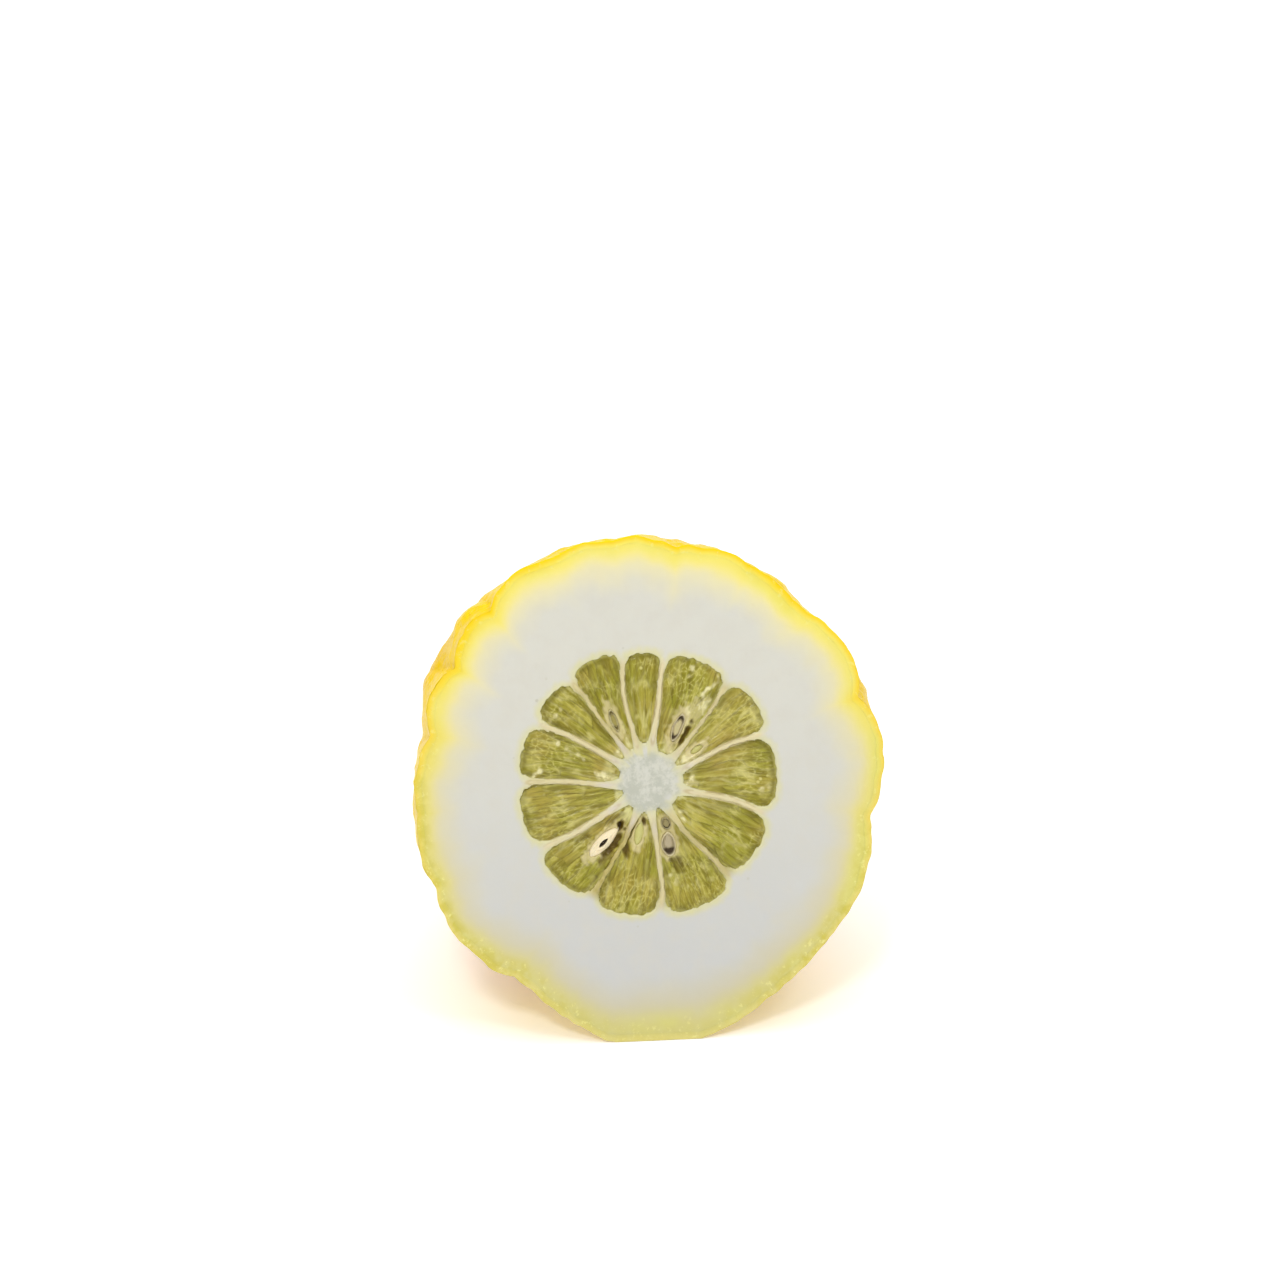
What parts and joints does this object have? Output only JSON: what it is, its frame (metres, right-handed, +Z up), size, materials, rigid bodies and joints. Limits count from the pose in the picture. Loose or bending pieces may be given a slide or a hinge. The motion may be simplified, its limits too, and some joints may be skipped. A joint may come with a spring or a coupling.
{
  "type": "halved citron fruit",
  "caption": "Stem half of a ripe citron, cut across the middle, lying on its side with its thick white pith, juicy segments and seeds showing.",
  "frame": {"origin": "on the surface that the fruit rests on, in the middle of its rear resting spot, straight below its weight", "axes": "+Z up from the surface; -Y towards the front, where the cut face looks, leaning back and up; +X to the right of the cut face"},
  "size_m": [0.1013, 0.097, 0.1042],
  "materials": {
    "rind": "satin",
    "pith": "matte",
    "pulp": "satin",
    "seed": "satin",
    "stem": "matte"
  },
  "bodies": {
    "root": {"rind": "rind", "pith": "pith", "pulp_01": "pulp", "pulp_02": "pulp", "pulp_03": "pulp", "pulp_04": "pulp", "pulp_05": "pulp", "pulp_06": "pulp", "pulp_07": "pulp", "pulp_08": "pulp", "pulp_09": "pulp", "pulp_10": "pulp", "pulp_11": "pulp", "pulp_12": "pulp", "seed_01": "seed", "seed_02": "seed", "seed_03": "seed", "seed_04": "seed", "seed_05": "seed", "seed_06": "seed", "seed_07": "seed", "stem_button": "stem"}
  },
  "joints": []
}
